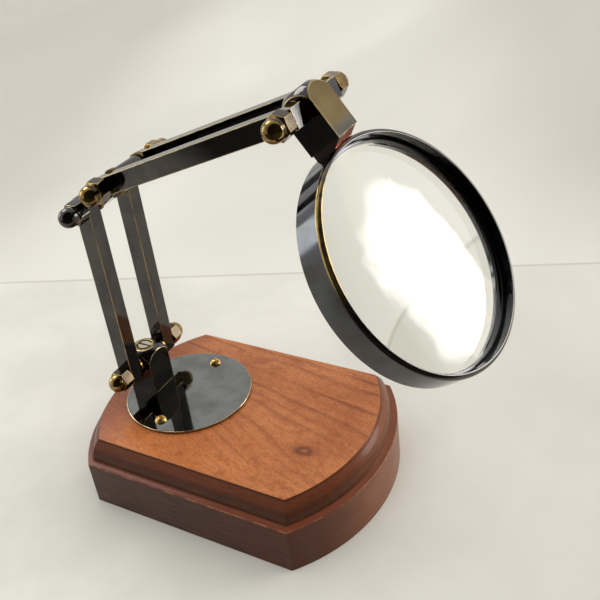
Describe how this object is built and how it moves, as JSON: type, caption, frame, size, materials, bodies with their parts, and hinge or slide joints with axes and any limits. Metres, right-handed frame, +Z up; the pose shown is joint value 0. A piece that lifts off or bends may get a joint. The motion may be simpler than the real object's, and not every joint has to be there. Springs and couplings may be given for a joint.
{
  "type": "stand magnifier",
  "caption": "Large round magnifying lens in a metal ring, held by a jointed arm of paired bars that swivels on a bow-ended wooden foot with moulded edges.",
  "frame": {"origin": "middle of the wooden base's flat underside", "axes": "+Z up, square to the underside; +X along the base from the arm's foot towards the lens; +Y to the left when looking along +X"},
  "size_m": [0.2165, 0.114, 0.2104],
  "materials": {
    "wood": "satin lacquer",
    "black_brass": "blackened and polished, edges rubbed back to brass",
    "gold_brass": "polished, lightly tarnished",
    "dull_brass": "tarnished",
    "steel": "bright, slightly worn",
    "braze": "coppery brazed metal, dull",
    "lens_glass": "clear, polished"
  },
  "bodies": {
    "foot": {"wood_base": "wood", "base_plate": "black_brass", "plate_screws": "gold_brass"},
    "swivel": {"swivel_knuckle": "black_brass", "swivel_bolt": "steel", "swivel_washer": "dull_brass", "swivel_spring_washer": "steel", "foot_tension_screw": "steel", "foot_rod": "steel", "foot_nut_near": "gold_brass", "foot_nut_far": "gold_brass", "foot_spacers": "dull_brass"},
    "lower_arm": {"lower_bar_near": "black_brass", "lower_bar_far": "black_brass"},
    "elbow": {"elbow_link": "black_brass", "elbow_rod": "steel", "elbow_nut_near": "black_brass", "elbow_nut_far": "black_brass", "elbow_spacers": "dull_brass", "link_rod": "steel", "link_nut_near": "gold_brass", "link_nut_far": "gold_brass", "link_spacers": "dull_brass"},
    "upper_arm": {"upper_bar_near": "black_brass", "upper_bar_far": "black_brass"},
    "head": {"head_knuckle": "black_brass", "head_rod": "steel", "head_nut_near": "gold_brass", "head_nut_far": "gold_brass", "head_spacers": "dull_brass", "head_tension_screw": "steel", "ring_saddle": "braze", "lens_ring": "black_brass", "lens": "lens_glass", "lens_retainer": "black_brass"}
  },
  "joints": [
    {"name": "base_swivel", "type": "hinge", "parent": "foot", "child": "swivel", "pos_m": [-0.0542, 0, 0.05465], "axis": [0, 0, 1], "continuous": true},
    {"name": "foot_pivot", "type": "hinge", "parent": "swivel", "child": "lower_arm", "pos_m": [-0.0542, 0, 0.05465], "axis": [0, 1, 0], "range_deg": [-45, 30]},
    {"name": "elbow_pivot", "type": "hinge", "parent": "lower_arm", "child": "elbow", "pos_m": [-0.0542, 0, 0.14965], "axis": [0, 1, 0], "range_deg": [-70, 18]},
    {"name": "link_pivot", "type": "hinge", "parent": "elbow", "child": "upper_arm", "pos_m": [-0.0377, 0, 0.16264], "axis": [0, 1, 0], "range_deg": [-75, 18]},
    {"name": "head_tilt", "type": "hinge", "parent": "upper_arm", "child": "head", "pos_m": [0.05988, 0, 0.20088], "axis": [0, 1, 0], "range_deg": [-80, 50]}
  ]
}
